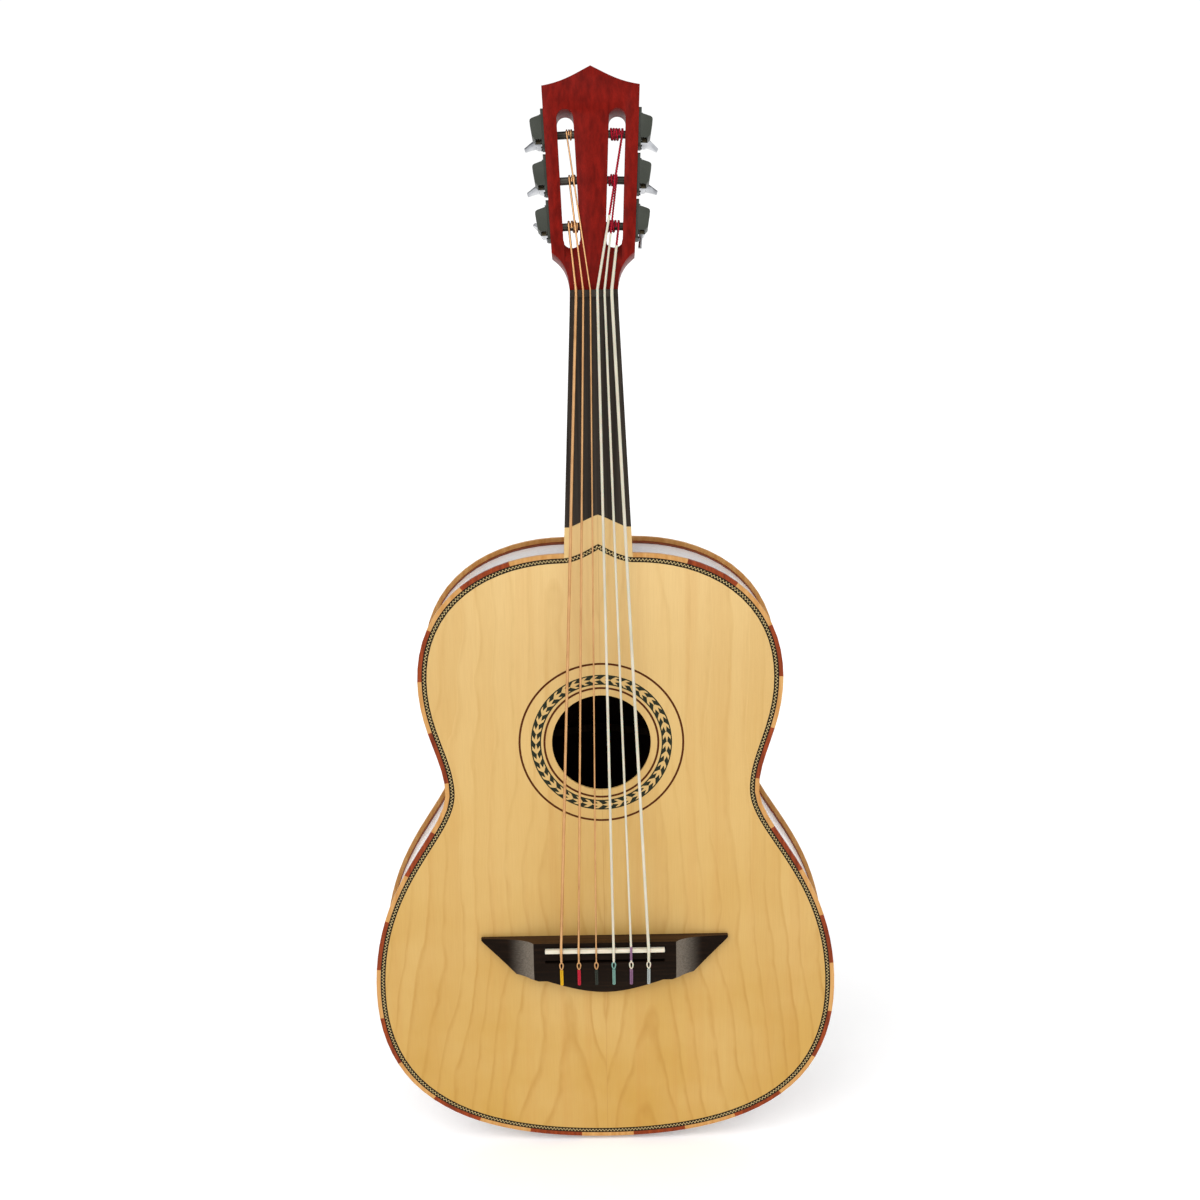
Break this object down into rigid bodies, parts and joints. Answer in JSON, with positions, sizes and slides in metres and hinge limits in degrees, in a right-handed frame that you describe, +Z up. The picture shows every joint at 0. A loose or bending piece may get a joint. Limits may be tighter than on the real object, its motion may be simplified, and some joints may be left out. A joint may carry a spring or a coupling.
{
  "type": "mexican guitarron",
  "caption": "Large acoustic bass guitar with a fretless neck, deep V-shaped back, butterfly bridge and a slotted headstock whose geared keys turn the string rollers.",
  "frame": {"origin": "on the centre line at the front edge of the nut, level with the fingerboard's face", "axes": "+Z up the neck towards the headstock, +Y from the soundboard into the body, +X to the player's treble side"},
  "size_m": [0.4988, 0.2842, 1.1462],
  "materials": {
    "soundboard_wood": "clear lacquer",
    "inlay": "lacquered inlay",
    "tan_binding": "lacquered",
    "red_binding": "lacquered",
    "side_wood": "lacquered",
    "lining_wood": "raw",
    "neck_wood": "gloss lacquer",
    "dark_wood": "oiled",
    "bone": "polished",
    "wound_string": "wound",
    "nylon_string": "smooth",
    "silk": "silk wrapping",
    "olive_metal": "satin",
    "bright_metal": "polished nickel",
    "gear_brass": "cut"
  },
  "bodies": {
    "guitarron": {"soundboard": "soundboard_wood", "rosette": "inlay", "top_purfling": "inlay", "top_binding_light": "tan_binding", "top_binding_dark": "red_binding", "rib_bass": "side_wood", "rib_treble": "side_wood", "linings": "lining_wood", "tail_block": "lining_wood", "back_plate_bass": "side_wood", "back_plate_treble": "side_wood", "back_binding_light": "tan_binding", "back_binding_dark": "red_binding", "side_purfling": "red_binding", "soundboard_braces": "lining_wood", "back_braces": "lining_wood", "neck": "neck_wood", "headstock": "neck_wood", "fingerboard": "dark_wood", "nut": "dark_wood", "bridge": "dark_wood", "saddle": "bone", "string_1": "wound_string", "string_2": "wound_string", "string_3": "wound_string", "string_4": "nylon_string", "string_5": "nylon_string", "string_6": "nylon_string", "tuner_brackets": "olive_metal", "tuner_screws": "bright_metal"},
    "roller_1": {"post_1": "olive_metal", "gear_1": "gear_brass", "winding_1": "wound_string"},
    "key_1": {"key_1": "bright_metal", "worm_1": "bright_metal"},
    "roller_2": {"post_2": "olive_metal", "gear_2": "gear_brass", "winding_2": "wound_string"},
    "key_2": {"key_2": "bright_metal", "worm_2": "bright_metal"},
    "roller_3": {"post_3": "olive_metal", "gear_3": "gear_brass", "winding_3": "wound_string"},
    "key_3": {"key_3": "bright_metal", "worm_3": "bright_metal"},
    "roller_4": {"post_4": "olive_metal", "gear_4": "gear_brass", "winding_4": "silk"},
    "key_4": {"key_4": "bright_metal", "worm_4": "bright_metal"},
    "roller_5": {"post_5": "olive_metal", "gear_5": "gear_brass", "winding_5": "silk"},
    "key_5": {"key_5": "bright_metal", "worm_5": "bright_metal"},
    "roller_6": {"post_6": "olive_metal", "gear_6": "gear_brass", "winding_6": "silk"},
    "key_6": {"key_6": "bright_metal", "worm_6": "bright_metal"}
  },
  "joints": [
    {"name": "key_1_turn", "type": "hinge", "parent": "guitarron", "child": "key_1", "pos_m": [-0.04957, 0.0363, 0.07434], "axis": [0, 0.9511, -0.309], "continuous": true},
    {"name": "roller_1_turn", "type": "hinge", "parent": "guitarron", "child": "roller_1", "pos_m": [-0.04276, 0.03361, 0.06607], "axis": [-0.9989, -0.0143, -0.044], "continuous": true},
    {"name": "key_2_turn", "type": "hinge", "parent": "guitarron", "child": "key_2", "pos_m": [-0.05175, 0.05082, 0.11904], "axis": [0, 0.9511, -0.309], "continuous": true},
    {"name": "roller_2_turn", "type": "hinge", "parent": "guitarron", "child": "roller_2", "pos_m": [-0.04494, 0.04814, 0.11077], "axis": [-0.9989, -0.0143, -0.044], "continuous": true},
    {"name": "key_3_turn", "type": "hinge", "parent": "guitarron", "child": "key_3", "pos_m": [-0.05393, 0.06535, 0.16374], "axis": [0, 0.9511, -0.309], "continuous": true},
    {"name": "roller_3_turn", "type": "hinge", "parent": "guitarron", "child": "roller_3", "pos_m": [-0.04712, 0.06266, 0.15547], "axis": [-0.9989, -0.0143, -0.044], "continuous": true},
    {"name": "key_4_turn", "type": "hinge", "parent": "guitarron", "child": "key_4", "pos_m": [0.05393, 0.06535, 0.16374], "axis": [0, 0.9511, -0.309], "continuous": true},
    {"name": "roller_4_turn", "type": "hinge", "parent": "guitarron", "child": "roller_4", "pos_m": [0.04712, 0.06266, 0.15547], "axis": [0.9989, -0.0143, -0.044], "continuous": true},
    {"name": "key_5_turn", "type": "hinge", "parent": "guitarron", "child": "key_5", "pos_m": [0.05175, 0.05082, 0.11904], "axis": [0, 0.9511, -0.309], "continuous": true},
    {"name": "roller_5_turn", "type": "hinge", "parent": "guitarron", "child": "roller_5", "pos_m": [0.04494, 0.04814, 0.11077], "axis": [0.9989, -0.0143, -0.044], "continuous": true},
    {"name": "key_6_turn", "type": "hinge", "parent": "guitarron", "child": "key_6", "pos_m": [0.04957, 0.0363, 0.07434], "axis": [0, 0.9511, -0.309], "continuous": true},
    {"name": "roller_6_turn", "type": "hinge", "parent": "guitarron", "child": "roller_6", "pos_m": [0.04276, 0.03361, 0.06607], "axis": [0.9989, -0.0143, -0.044], "continuous": true}
  ],
  "couplings": [
    {"joint": "roller_1_turn", "follows": "key_1_turn", "ratio": 0.071429},
    {"joint": "roller_2_turn", "follows": "key_2_turn", "ratio": 0.071429},
    {"joint": "roller_3_turn", "follows": "key_3_turn", "ratio": 0.071429},
    {"joint": "roller_4_turn", "follows": "key_4_turn", "ratio": 0.071429},
    {"joint": "roller_5_turn", "follows": "key_5_turn", "ratio": 0.071429},
    {"joint": "roller_6_turn", "follows": "key_6_turn", "ratio": 0.071429}
  ]
}
